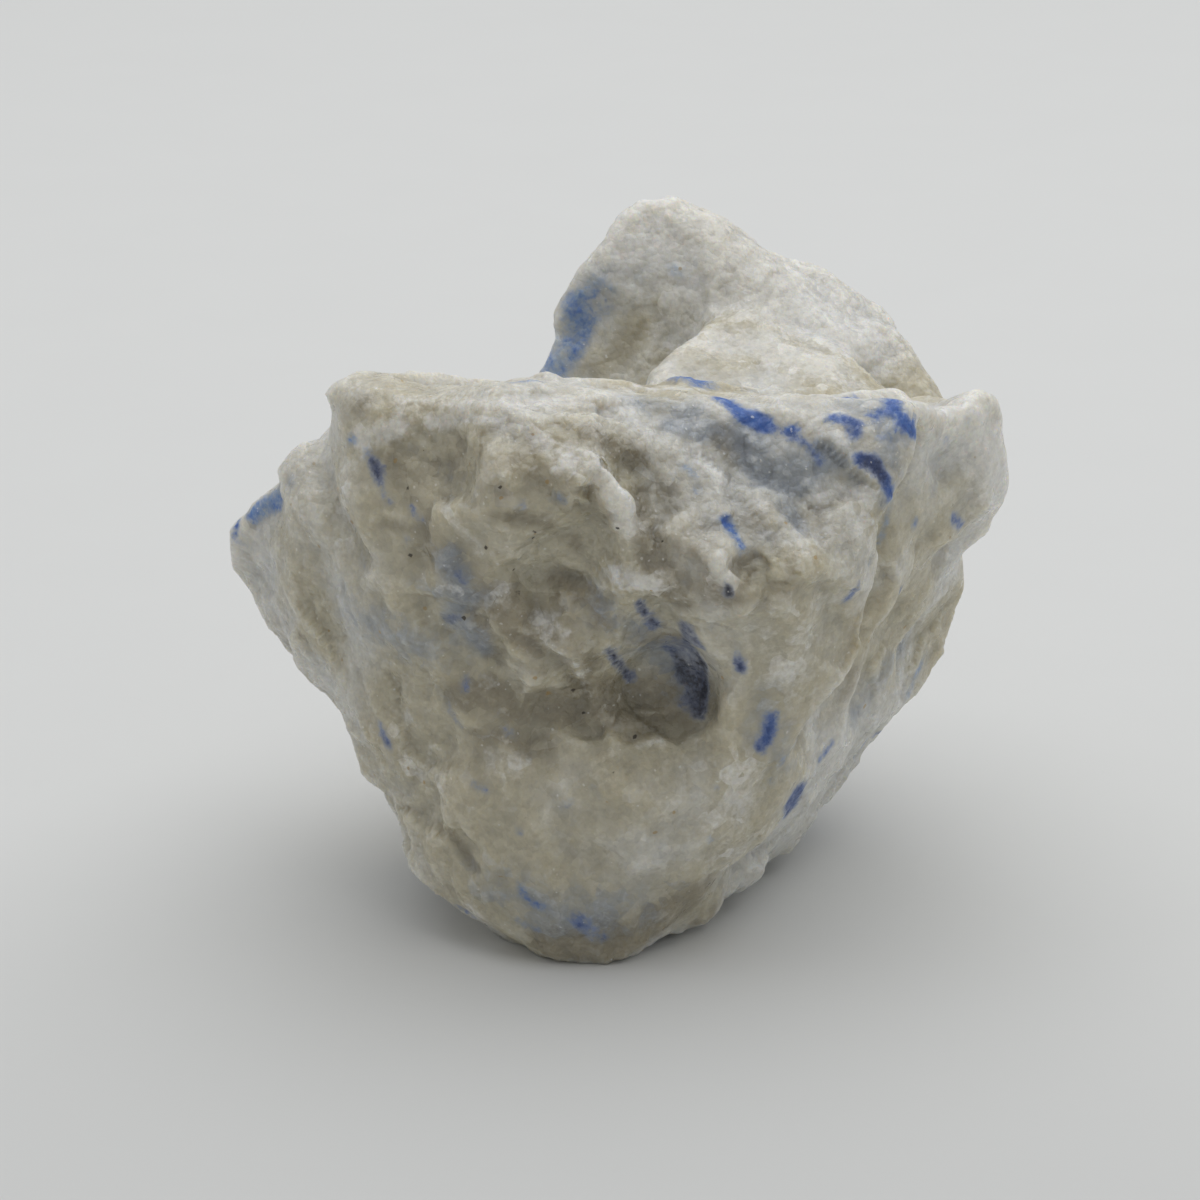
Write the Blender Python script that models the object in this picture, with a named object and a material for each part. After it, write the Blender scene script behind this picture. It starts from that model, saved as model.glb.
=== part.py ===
"""Dumortierite in quartz: one rough natural stone, built as one closed solid.

The stone is roughed out as a few convex fracture blocks, fused, and then
carved: broad dents and creases first, then the slanting ledges of broken
layers, the chips of a hammered surface, and a flat patch that it rests on.
Sizes are in millimetres until the mesh is written, in metres.
X runs across the front, Y goes back from it and Z is up.
"""

import math
import random

import bmesh
import bpy
import numpy as np
from mathutils import Vector, noise

MM = 0.001

# The even mesh that the carving works on, and the finished one
ROUGH_GRID = 0.7           # edge of its faces
BLEND_PASSES = 5           # softening of the joints between the blocks
SETTLE_PASSES = 1          # softening after the carving
TRIANGLES = 9400           # of the finished solid
EDGE_ANGLE = 42            # sharper edges than this stay crisp, degrees

# Layers that broke off and left slanting ledges
SHEET_NORMAL = (0.50, 0.75, 0.43)  # the way the layers are stacked
SHEET_THICKNESS = 2.2
SHEET_SHARE = 0.65         # how far the surface steps between them, from 0 to 1
SHEET_CRISPNESS = 4.5      # how sudden each step is
SMOOTH_PANEL = ((9, -12, 19), (5, -13, 7), 8.0)  # where the ledges hardly show
SMOOTH_BACK = (4.0, 10.0)  # the ledges fade out between these depths
BACK_STRENGTH = 0.45       # what is left of them there

# Chips and unevenness of the broken surface
CHIP_SEED = 27
LARGE_CHIPS = (60, 5.0, 0.5)    # how many, their radius and depth
SMALL_CHIPS = (260, 2.2, 0.25)
CHIP_LEAN = 0.25           # how far a chip leans from the surface
SWELLS = ((0.55, 4.5), (0.30, 1.9))  # height and size of smooth unevenness

QUARTZ = (0.56, 0.54, 0.49, 1.0)
QUARTZ_ROUGHNESS = 0.5

# Corners of the fracture blocks
BLOCKS = {
    "upper front": [
        (-16.0, -5.0, 33.2), (-6.9, -8.5, 33.9), (0.8, -8.5, 33.6),
        (-15.5, 1.0, 31.6), (0.0, -3.0, 32.2),
        (-14.9, -8.4, 31.9), (-7.9, -12.0, 33.0), (-3.6, -13.2, 32.2),
        (-13.8, -9.6, 29.6), (-7.5, -14.0, 31.0), (-2.6, -15.0, 30.0),
        (0.4, -15.6, 28.5), (1.5, -15.6, 24.8),
        (-16.0, -6.0, 22.8), (-14.2, -6.6, 12.0), (-8.6, -9.8, 14.5),
        (0.8, -9.0, 14.0), (4.0, -8.4, 15.0), (4.0, -9.5, 22.0),
        (0.0, 0.0, 14.0), (-12.0, 2.0, 14.0),
    ],
    "spur": [
        (-17.1, -5.4, 33.1), (-17.2, -4.2, 31.2), (-12.0, -7.5, 33.4),
        (-12.0, -1.0, 32.6), (-13.0, -5.0, 29.5),
    ],
    "shoulder": [
        (0.8, -8.5, 33.4), (7.0, -8.0, 33.0), (14.7, -7.6, 32.4),
        (18.0, -4.0, 31.2), (0.0, -2.0, 32.0), (16.0, 3.0, 30.0),
        (1.0, -14.6, 28.0), (1.8, -15.6, 25.5), (5.1, -16.1, 25.0),
        (9.0, -14.5, 23.8), (13.2, -11.4, 23.0), (15.0, -9.4, 27.6),
        (5.0, -10.5, 17.0), (12.5, -9.5, 16.0), (3.0, -6.0, 16.0),
    ],
    "front panel": [
        (4.4, -13.6, 23.0), (13.2, -10.6, 22.0), (11.2, -8.8, 13.5),
        (9.9, -9.5, 12.1), (7.7, -8.8, 6.0), (6.4, -12.3, 10.6),
        (5.6, -12.7, 12.0), (5.8, -12.6, 17.0),
        (3.0, -4.0, 10.0), (10.0, 0.0, 22.0), (4.0, -4.0, 22.0),
    ],
    "foot": [
        (-8.6, -9.9, 15.4), (-3.6, -11.0, 14.5), (0.8, -11.0, 13.8),
        (5.0, -11.4, 15.0), (-9.6, -10.0, 9.4), (-3.8, -12.9, 9.4),
        (1.4, -13.3, 9.8), (6.4, -12.5, 10.6), (-8.8, -9.0, 1.7),
        (-3.6, -11.3, -0.6), (0.9, -10.2, 0.3), (4.3, -7.8, 0.9),
        (-14.2, -4.5, 9.0), (-10.5, 4.0, 1.4), (6.0, 2.0, -0.2),
        (9.5, -6.5, 8.2), (0.0, 0.0, 12.0),
    ],
    "middle": [
        (-7.0, -8.0, -0.2), (4.0, -6.0, -0.5), (6.0, 6.0, -0.7),
        (1.0, 13.0, -0.5), (-6.5, 10.0, -0.7), (-9.0, 0.0, -0.3),
        (-12.0, -4.0, 16.0), (8.0, -6.0, 16.0), (14.0, 10.0, 20.0),
        (0.0, 18.0, 20.0), (-13.0, 8.0, 18.0),
    ],
    "left haunch": [
        (-16.4, 4.0, 10.0), (-14.6, -5.0, 9.5), (-14.4, -7.0, 14.0),
        (-18.3, -2.0, 17.0), (-10.8, -6.5, 2.0), (-11.5, 4.0, 1.2),
        (-9.4, 11.0, 1.6), (-16.0, 9.0, 12.0), (-8.0, -9.2, 12.0),
        (-10.0, -9.0, 20.0), (-12.0, 8.0, 22.0),
    ],
    "right haunch": [
        (9.6, -6.5, 8.0), (5.0, -7.0, 0.8), (9.0, 4.0, 0.9),
        (12.4, 7.0, 3.2), (12.6, -7.5, 14.0), (3.0, 4.0, -0.4),
        (7.0, 14.0, 1.8), (15.0, 8.0, 14.0),
    ],
    "left wing": [
        (-16.8, -4.0, 30.6), (-20.5, 0.0, 25.4), (-23.6, 3.0, 21.6),
        (-22.6, 4.0, 18.0), (-19.6, 4.0, 13.6), (-16.4, 4.0, 10.0),
        (-14.5, -9.0, 29.0), (-18.5, -3.5, 21.5), (-14.0, -7.0, 12.0),
        (-15.0, 12.0, 23.0), (-15.0, 11.0, 14.0), (-8.0, 11.0, 27.0),
    ],
    "right knob": [
        (19.5, -1.0, 30.8), (21.9, 2.0, 30.5), (21.8, 4.0, 26.8),
        (23.1, 6.0, 22.4), (23.0, 8.0, 19.0), (16.5, -5.5, 30.0),
        (17.5, -3.0, 24.0), (20.0, 10.0, 26.0), (18.0, 8.0, 17.0),
        (14.0, 12.0, 26.0),
    ],
    "right flank": [
        (15.4, -7.8, 31.0), (20.9, 11.0, 16.2), (19.4, 12.0, 11.3),
        (17.2, 10.0, 8.0), (12.4, 8.0, 3.4), (8.4, 2.0, 0.3),
        (12.8, -8.5, 20.0), (10.0, -7.5, 10.0), (5.0, -6.0, 2.0),
        (17.5, 1.0, 24.0), (15.0, 18.0, 22.0), (13.0, 17.0, 9.0),
    ],
    "back peak": [
        (0.6, 18.0, 38.0), (3.6, 20.0, 37.1), (5.0, 19.0, 35.4),
        (7.4, 19.0, 35.2), (11.4, 19.0, 33.2), (16.0, 18.0, 30.6),
        (16.8, 16.0, 28.7), (-1.2, 18.0, 35.0), (-4.4, 16.0, 31.2),
        (-5.5, 14.0, 27.0), (-6.5, 12.0, 20.0), (1.0, 24.0, 30.0),
        (12.0, 24.0, 27.0), (19.6, 12.0, 26.0), (18.5, 15.0, 18.0),
        (-4.0, 22.0, 16.0), (6.0, 26.0, 17.0), (14.0, 22.0, 15.0),
    ],
    "slab": [
        (0.6, 7.4, 29.0), (2.6, 10.4, 30.6), (5.0, 13.6, 31.9),
        (8.0, 14.0, 31.7), (13.0, 12.6, 30.0), (17.0, 8.0, 27.4),
        (2.0, 4.0, 27.5), (15.0, 4.0, 26.8), (2.0, 14.0, 22.0),
        (14.0, 15.0, 22.0),
    ],
    "body": [
        (-16.4, 4.0, 10.2), (-17.0, 5.0, 20.0), (-12.0, 15.0, 21.0),
        (-10.5, 18.0, 11.0), (1.0, 25.0, 18.0), (4.0, 23.0, 6.0),
        (14.0, 21.0, 17.0), (16.5, 14.0, 9.0), (-11.0, 5.0, 1.4),
        (-7.0, 14.5, 0.9), (3.0, 18.0, 1.2), (9.0, 9.0, 1.3),
        (-12.0, 2.0, 26.0), (16.0, 4.0, 26.0), (-5.0, -8.0, 26.0),
    ],
}

# Broad carving: a stroke from one point to another, its radius, and how far
# it moves the surface at its middle
STROKES = {
    "dark hollow": ((1.6, -12, 21), (3.6, -12, 15), 4.6, (0, 0.9, 0)),
    "left of the hollow": ((-5, -12, 22), (0.5, -11, 16), 6.0, (0, 0.7, 0)),
    "lip over the hollow": ((-2.5, -14, 26), (3, -14, 23.5), 3.0, (0, 0.7, 0.3)),
    "undercut right of the foot": ((4, -11, 0), (8, -7, 3), 3.6, (-0.4, 1.6, 0.5)),
    "dip in the shoulder": ((5, -12, 30.5), (11, -11, 29), 4.2, (0, 0.9, -1.0)),
    "crease beside the cream ridge": ((0.6, -13, 31), (2.2, -15.5, 26), 1.7, (0.3, 1.0, -1.0)),
    "crease across the shoulder": ((5.4, -13, 29), (7.4, -15, 26), 1.5, (0.2, 0.7, -0.8)),
    "flank groove": ((17, -6, 28), (12.5, -6, 12), 2.8, (-1.3, 1.0, 0)),
    "flank hollow": ((17, 0, 17), (15, -1, 12), 3.4, (-1.2, 0.9, 0)),
    "notch under the knob": ((22, 8, 17.2), (19.5, 2, 17), 1.8, (-1.8, 0.4, 0.6)),
    "corner left of the peak": ((-4.5, 15, 34.5), (-2.2, 19, 36.5), 2.6, (1.0, 0, -0.5)),
    "step left of the slab": ((-3, 12, 27), (-1, 10, 33), 3.2, (0, 2.0, -0.5)),
    "wing hollow": ((-19, -5, 19), (-15, -8, 15), 4.0, (0.4, 1.2, 0)),
    "crease left of the spur": ((-18.5, -3, 29.5), (-15.5, -8, 24), 2.2, (0.7, 1.0, -0.4)),
    "scoop in the back": ((-6, 22, 20), (6, 26, 12), 6.0, (0, -1.6, 0)),
    "saddle to the left": ((-12, 6, 27), (-8, 12, 25), 5.0, (0, 0, -1.6)),
}


def clear_scene():
    for old in list(bpy.data.objects):
        bpy.data.objects.remove(old)


def fracture_blocks():
    """One mesh with the convex hull of each block's corners, still apart."""
    rough = bmesh.new()
    for corners in BLOCKS.values():
        block = bmesh.new()
        for corner in corners:
            block.verts.new(Vector(corner) * MM)
        hull = bmesh.ops.convex_hull(block, input=block.verts)
        inside = [v for v in hull["geom_interior"] if isinstance(v, bmesh.types.BMVert)]
        bmesh.ops.delete(block, geom=inside, context="VERTS")
        piece = bpy.data.meshes.new("block")
        block.to_mesh(piece)
        block.free()
        rough.from_mesh(piece)
        bpy.data.meshes.remove(piece)
    bmesh.ops.recalc_face_normals(rough, faces=rough.faces)
    mesh = bpy.data.meshes.new("stone")
    rough.to_mesh(mesh)
    rough.free()
    return mesh


def evaluated(obj):
    """The object's mesh with its modifiers applied."""
    graph = bpy.context.evaluated_depsgraph_get()
    return bpy.data.meshes.new_from_object(obj.evaluated_get(graph))


def fuse(obj):
    """The blocks as one skin of even faces."""
    remesh = obj.modifiers.new("fuse", "REMESH")
    remesh.mode = "VOXEL"
    remesh.voxel_size = ROUGH_GRID * MM
    obj.data = evaluated(obj)
    obj.modifiers.clear()
    keep_outer_skin(obj.data)


def keep_outer_skin(mesh):
    """Closes any gap left between blocks deep inside, by dropping its walls."""
    skin = bmesh.new()
    skin.from_mesh(mesh)
    waiting = set(skin.verts)
    pieces = []
    while waiting:
        edge_of_piece = [waiting.pop()]
        piece = list(edge_of_piece)
        while edge_of_piece:
            at = edge_of_piece.pop()
            for side in at.link_edges:
                other = side.other_vert(at)
                if other in waiting:
                    waiting.remove(other)
                    edge_of_piece.append(other)
                    piece.append(other)
        pieces.append(piece)
    pieces.sort(key=len)
    for piece in pieces[:-1]:
        bmesh.ops.delete(skin, geom=piece, context="VERTS")
    skin.to_mesh(mesh)
    skin.free()


def points_of(mesh):
    points = np.empty(len(mesh.vertices) * 3)
    mesh.vertices.foreach_get("co", points)
    return points.reshape(-1, 3) / MM


def normals_of(mesh):
    normals = np.empty(len(mesh.vertices) * 3)
    mesh.vertices.foreach_get("normal", normals)
    return normals.reshape(-1, 3)


def set_points(mesh, points):
    mesh.vertices.foreach_set("co", (points * MM).ravel())
    mesh.update()


def soften(mesh, points, passes, share=0.5):
    """Moves each point towards the middle of its neighbours."""
    ends = np.empty(len(mesh.edges) * 2, np.int32)
    mesh.edges.foreach_get("vertices", ends)
    first, second = ends.reshape(-1, 2).T
    count = np.bincount(ends, minlength=len(points))[:, None]
    for _ in range(passes):
        total = np.zeros_like(points)
        np.add.at(total, first, points[second])
        np.add.at(total, second, points[first])
        points = points + share * (total / count - points)
    return points


def fade(distance):
    """1 at a distance of 0, falling smoothly to 0 at 1."""
    near = np.clip(1 - distance, 0, 1)
    return near * near * (3 - 2 * near)


def from_segment(points, start, end):
    """How far each point is from the segment."""
    start = np.array(start, float)
    along = np.array(end, float) - start
    share = np.clip((points - start) @ along / max(along @ along, 1e-9), 0, 1)
    return np.linalg.norm(points - start - share[:, None] * along, axis=1)


def carve(points):
    for start, end, radius, shift in STROKES.values():
        weight = fade(from_segment(points, start, end) / radius)
        points = points + weight[:, None] * np.array(shift, float)
    return points


def waviness(points, size, offset=0.0):
    """Smooth noise from about -1 to 1, with features of the given size."""
    shift = Vector((offset, -offset, 2 * offset))
    return np.array([noise.noise(Vector(p) / size + shift) for p in points])


def break_into_sheets(points, normals):
    """Steps the surface like the slanting edges of layers that broke off."""
    across = np.array(SHEET_NORMAL) / np.linalg.norm(SHEET_NORMAL)
    level = points @ across / SHEET_THICKNESS
    level = level + 0.9 * waviness(points, 8.0) + 0.35 * waviness(points, 2.6, 5.0)
    share = level - np.floor(level)
    stepped = np.floor(level) + np.clip((share - 0.5) * SHEET_CRISPNESS + 0.5, 0, 1)
    start, end, reach = SMOOTH_PANEL
    near, far = SMOOTH_BACK
    strength = np.clip(0.8 + 1.2 * waviness(points, 9.0, 7.0), 0.2, 1)
    strength = strength * (1 - 0.85 * fade(from_segment(points, start, end) / reach))
    strength = strength * np.interp(points[:, 1], (near, far), (1, BACK_STRENGTH))
    strength = strength * (0.55 + 0.45 * np.clip(-normals[:, 1] * 2, 0, 1))
    move = (stepped - level) * SHEET_THICKNESS * SHEET_SHARE * strength
    return points + move[:, None] * across


def chip(points, normals, size, chooser):
    """Flattens small patches, each nearly square to the surface where it is."""
    count, radius, bite = size
    for _ in range(count):
        at = chooser.randrange(len(points))
        face = normals[at] + [chooser.gauss(0, CHIP_LEAN) for _ in range(3)]
        face = face / np.linalg.norm(face)
        reach = radius * chooser.uniform(0.6, 1.4)
        middle = points[at] - face * bite * chooser.uniform(0.5, 1.5)
        weight = fade(np.linalg.norm(points - points[at], axis=1) / reach)
        proud = np.maximum((points - middle) @ face, 0) * weight
        points = points - proud[:, None] * face
    return points


def swell(points, normals):
    """Smooth lumps and dips of a few sizes."""
    total = np.zeros(len(points))
    for number, (height, size) in enumerate(SWELLS):
        total += height * waviness(points, size, 3.0 + 5.0 * number)
    return points + total[:, None] * normals


def thin_out(obj):
    """Brings the mesh down to the triangles that its shape needs."""
    obj.modifiers.new("triangles", "TRIANGULATE")
    thin = obj.modifiers.new("thin", "DECIMATE")
    thin.ratio = TRIANGLES / (2 * len(obj.data.polygons))
    obj.data = evaluated(obj)
    obj.modifiers.clear()


def rest_and_centre(points):
    """Grinds the underside flat at 0 and centres the stone over the origin."""
    points[:, 2] = np.maximum(points[:, 2], 0.0)
    middle = (points.min(axis=0) + points.max(axis=0)) / 2
    middle[2] = 0.0
    return points - middle


def quartz():
    material = bpy.data.materials.new("dumortierite in quartz")
    material.use_nodes = True
    surface = material.node_tree.nodes["Principled BSDF"].inputs
    surface["Base Color"].default_value = QUARTZ
    surface["Roughness"].default_value = QUARTZ_ROUGHNESS
    surface["Metallic"].default_value = 0.0
    return material


def main():
    clear_scene()
    stone = bpy.data.objects.new("stone", fracture_blocks())
    bpy.context.scene.collection.objects.link(stone)
    fuse(stone)
    chooser = random.Random(CHIP_SEED)
    points = soften(stone.data, points_of(stone.data), BLEND_PASSES)
    points = carve(points)
    set_points(stone.data, points)
    normals = normals_of(stone.data)
    points = chip(points, normals, LARGE_CHIPS, chooser)
    points = break_into_sheets(points, normals)
    points = swell(points, normals)
    set_points(stone.data, points)
    points = chip(points, normals_of(stone.data), SMALL_CHIPS, chooser)
    points = soften(stone.data, points, SETTLE_PASSES, 0.3)
    set_points(stone.data, points)
    thin_out(stone)
    set_points(stone.data, rest_and_centre(points_of(stone.data)))
    stone.data.shade_smooth()
    stone.data.set_sharp_from_angle(angle=math.radians(EDGE_ANGLE))
    stone.data.materials.append(quartz())


main()
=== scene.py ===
import math
import random

import bpy
import numpy as np
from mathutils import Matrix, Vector, kdtree, noise
from mathutils.bvhtree import BVHTree


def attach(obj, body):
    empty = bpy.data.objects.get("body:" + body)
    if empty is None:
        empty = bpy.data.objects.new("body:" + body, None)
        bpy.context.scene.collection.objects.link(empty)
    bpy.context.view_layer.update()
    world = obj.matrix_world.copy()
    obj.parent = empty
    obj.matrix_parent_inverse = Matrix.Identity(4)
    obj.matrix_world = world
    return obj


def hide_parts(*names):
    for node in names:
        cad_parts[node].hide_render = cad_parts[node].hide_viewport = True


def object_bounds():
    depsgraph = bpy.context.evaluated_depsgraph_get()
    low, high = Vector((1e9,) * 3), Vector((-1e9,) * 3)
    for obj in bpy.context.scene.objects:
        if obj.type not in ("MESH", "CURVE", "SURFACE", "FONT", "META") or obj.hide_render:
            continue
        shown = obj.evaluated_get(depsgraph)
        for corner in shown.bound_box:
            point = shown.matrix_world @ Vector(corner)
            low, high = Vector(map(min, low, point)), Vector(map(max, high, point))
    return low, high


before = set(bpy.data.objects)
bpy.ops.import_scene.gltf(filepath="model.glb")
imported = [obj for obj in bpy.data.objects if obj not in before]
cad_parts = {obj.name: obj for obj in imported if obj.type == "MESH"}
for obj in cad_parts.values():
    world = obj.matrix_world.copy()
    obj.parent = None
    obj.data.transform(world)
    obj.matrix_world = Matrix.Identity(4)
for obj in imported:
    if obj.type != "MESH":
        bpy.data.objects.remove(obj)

# Dumortierite in quartz: one rough stone on a pale table, in soft light.
# Lengths in the dictionaries are millimetres, and places on the photograph
# are its own pixels, 1200 across.

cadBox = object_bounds()
mm = 0.001

photo = {
    "pixels": 1200,
    "width": 69.2,                       # what the frame spans at the stone
    "aim": (-1.22, -5.06, 18.2),
    "distance": 300.0,
    "elevation": 20.0,
    "sensor": 36.0,
    "nearest": 10,
}


class Wire:
    # a socket of a finish, with the arithmetic that the finishes use
    def __init__(self, finish, socket):
        self.finish = finish
        self.socket = socket

    def __add__(self, other):
        return self.finish.maths("ADD", self, other)

    def __radd__(self, other):
        return self.finish.maths("ADD", other, self)

    def __sub__(self, other):
        return self.finish.maths("SUBTRACT", self, other)

    def __rsub__(self, other):
        return self.finish.maths("SUBTRACT", other, self)

    def __mul__(self, other):
        return self.finish.maths("MULTIPLY", self, other)

    def __rmul__(self, other):
        return self.finish.maths("MULTIPLY", other, self)


class Finish:
    # a material that is put together from nodes
    def __init__(self, name):
        self.material = bpy.data.materials.new(name)
        self.material.use_nodes = True
        self.tree = self.material.node_tree
        self.tree.nodes.clear()

    def node(self, kind, settings=None, sockets=None, output=0):
        made = self.tree.nodes.new("ShaderNode" + kind)
        for name, value in (settings or {}).items():
            if name == "stops":
                ramp = made.color_ramp.elements
                ramp.remove(ramp[1])
                ramp[0].position = value[0][0]
                ramp[0].color = (*value[0][1], 1)
                for place, colour in value[1:]:
                    ramp.new(place).color = (*colour, 1)
            else:
                setattr(made, name, value)
        for name, value in (sockets or {}).items():
            if isinstance(value, Wire):
                self.tree.links.new(value.socket, made.inputs[name])
            else:
                made.inputs[name].default_value = value
        return Wire(self, made.outputs[output]) if made.outputs else None

    def maths(self, operation, *values):
        return self.node("Math", {"operation": operation}, dict(enumerate(values)))

    def smooth(self, value, low, high):
        # 0 below low and 1 above high
        return self.node("MapRange", {"interpolation_type": "SMOOTHSTEP"},
                         {"Value": value, "From Min": low, "From Max": high})

    def blend(self, share, first, second, how="MIX"):
        colours = [c if isinstance(c, Wire) else (*c, 1) for c in (first, second)]
        return self.node("Mix", {"data_type": "RGBA", "blend_type": how},
                         {0: share, 6: colours[0], 7: colours[1]}, output=2)

    def clouds(self, place, size, rough=0.5, detail=2.0):
        # soft noise with features of that size, from about 0 to 1
        return self.node("TexNoise", None, {"Vector": place, "Scale": 1 / size,
                                            "Detail": detail, "Roughness": rough})

    def grains(self, place, size):
        # how far each place is from the middle of its grain, and the three
        # random values that the grain has of its own
        apart = self.node("TexVoronoi", None, {"Vector": place, "Scale": 1 / size})
        colour = Wire(self, apart.socket.node.outputs["Color"])
        split = self.node("SeparateColor", None, {0: colour})
        return apart, [Wire(self, socket) for socket in split.socket.node.outputs]

    def millimetres(self):
        place = self.node("TexCoord", output="Object")
        return self.node("VectorMath", {"operation": "SCALE"}, {0: place, "Scale": 1 / mm})

    def mark(self, name):
        # a value painted on the piece's points
        return self.node("Attribute", {"attribute_name": name}, output="Fac")

    def surface(self, sockets):
        shader = self.node("BsdfPrincipled", None, sockets)
        self.node("OutputMaterial", None, {"Surface": shader})
        return self.material


# The camera, at the photograph's own angle

def towardsCamera():
    tilt = math.radians(photo["elevation"])
    return Vector((0, -math.cos(tilt), math.sin(tilt)))


def cameraPlace():
    return (Vector(photo["aim"]) + towardsCamera() * photo["distance"]) * mm


def addCamera():
    lens = bpy.data.cameras.new("camera")
    lens.sensor_width = photo["sensor"]
    lens.lens = photo["sensor"] * photo["distance"] / photo["width"]
    lens.clip_start = photo["nearest"] * mm
    camera = bpy.data.objects.new("camera", lens)
    camera.location = cameraPlace()
    camera.rotation_euler = (-towardsCamera()).to_track_quat("-Z", "Y").to_euler()
    bpy.context.scene.collection.objects.link(camera)
    bpy.context.scene.camera = camera


def underPixel(skin, pixel):
    # where the line of sight through a pixel of the photograph meets the stone
    across = Vector((1, 0, 0))
    up = towardsCamera().cross(across)
    step = photo["width"] / photo["pixels"]
    middle = photo["pixels"] / 2
    seen = (Vector(photo["aim"]) + across * (pixel[0] - middle) * step
            + up * (middle - pixel[1]) * step) * mm
    return skin.ray_cast(cameraPlace(), (seen - cameraPlace()).normalized())[0]


# The stone's skin: the solid's own mesh, made fine enough for the broken grain

roughStone = {
    "grid": 0.29,                        # edge of the fine faces
    "soften": (0.5, 2),                  # melts the solid's flat faces: share, passes
    "evenNormals": 4,                    # passes that even out the way that points move
    # they wander and come in patches, each by waves: amount, size, shift
    "ledges": {"across": (0.50, 0.75, 0.43), "thickness": 1.05, "share": 0.38, "crisp": 5,
               "wander": ((1.1, 5.0, 4.0), (0.4, 1.8, 6.0)), "patches": (1.4, 6.0, 11.0)},
    "plates": {"spacing": 3.2, "tilt": 0.10, "share": 0.45, "long": 2.0, "seed": 4},
    "flakes": {"spacing": 1.5, "tilt": 0.16, "share": 0.32, "long": 1.6, "seed": 9},
    "drop": 0.35,                        # the most that a grain's points move, in spacings
    "crumbs": ({"spacing": 2.1, "height": 0.16, "seed": 15},
               {"spacing": 1.05, "height": 0.13, "seed": 22}),
    "dome": (0.4, 1.5),                  # a crumb's top, and the power of its fall from it
    "grainRun": (0.62, 0.10, -0.78),     # the way the plates lie
    "lumps": ((0.06, 1.6), (0.03, 0.7)),     # height and size
    "lastSoften": 0.15,
    # places with less of the plates and of the crumbs: from, to, reach and the two
    # amounts, which are below zero where there is more
    "quiet": {
        "panel": ((9, -17, 20), (6, -18, 8), 9.0, 0.80, 0.70),
        "left face": ((-14, -16, 25), (-4, -18, 14), 12.0, 0.80, 0.15),
        "foot": ((-7, -16, 9), (2, -17, 3), 9.0, 0.70, 0.50),
        "slab": ((4, 5, 31), (13, 5, 30), 8.0, 0.75, 0.60),
        "peak": ((0, 14, 34), (13, 14, 31), 8.0, 0.45, 0.30),
        "knob": ((20, -3, 28), (21, 2, 20), 8.0, 0.75, 0.60),
        "flank": ((18, -6, 24), (12, -7, 7), 9.0, 0.60, 0.50),
        "spur": ((-17, -11, 34), (-16, -9, 29), 6.0, 0.85, 0.30),
        "rim, livelier": ((-14, -15, 33), (0, -18, 32), 5.0, 0, -0.5),
        "shoulder, livelier": ((2, -18, 30), (13, -16, 28), 9.0, 0, -0.8),
    },
    "crispAngle": 55,
}


def pointsOf(mesh):
    points = np.empty(len(mesh.vertices) * 3)
    mesh.vertices.foreach_get("co", points)
    return points.reshape(-1, 3) / mm


def normalsOf(mesh):
    normals = np.empty(len(mesh.vertices) * 3)
    mesh.vertices.foreach_get("normal", normals)
    return normals.reshape(-1, 3)


def setPoints(mesh, points):
    mesh.vertices.foreach_set("co", (points * mm).ravel())
    mesh.update()


def neighbourMean(mesh, values):
    # for each point, the mean of a value over the points joined to it
    ends = np.empty(len(mesh.edges) * 2, np.int32)
    mesh.edges.foreach_get("vertices", ends)
    first, second = ends.reshape(-1, 2).T
    count = np.bincount(ends, minlength=len(values))
    columns = []
    for column in values.reshape(len(values), -1).T:
        total = np.bincount(first, column[second], len(values))
        total += np.bincount(second, column[first], len(values))
        columns.append(total / count)
    return np.stack(columns, axis=-1).reshape(values.shape)


def soften(mesh, points, share):
    return points + share * (neighbourMean(mesh, points) - points)


def treeOf(points):
    tree = kdtree.KDTree(len(points))
    for number, point in enumerate(points):
        tree.insert(point, number)
    tree.balance()
    return tree


def paint(mesh, name, values):
    # a value for every point, which the finish reads by its name
    layer = mesh.attributes.new(name, "FLOAT", "POINT")
    layer.data.foreach_set("value", values.astype(np.float32))


def waves(points, size, shift):
    moved = Vector((shift, -shift, 2 * shift))
    return np.array([noise.noise(Vector(p) / size + moved) for p in points])


def fade(share):
    near = np.clip(1 - share, 0, 1)
    return near * near * (3 - 2 * near)


def fromSegment(points, start, end):
    start = np.array(start, float)
    along = np.array(end, float) - start
    share = np.clip((points - start) @ along / (along @ along), 0, 1)
    return np.linalg.norm(points - start - share[:, None] * along, axis=1)


def breakLedges(points, strength, look):
    across = np.array(look["across"]) / np.linalg.norm(look["across"])
    level = points @ across / look["thickness"]
    for amount, size, shift in look["wander"]:
        level = level + amount * waves(points, size, shift)
    share = level - np.floor(level)
    stepped = np.floor(level) + np.clip((share - 0.5) * look["crisp"] + 0.5, 0, 1)
    contrast, size, shift = look["patches"]
    patchy = np.clip(0.5 + contrast * waves(points, size, shift), 0, 1) * strength
    move = (stepped - level) * look["thickness"] * look["share"] * patchy
    return points + move[:, None] * across


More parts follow.
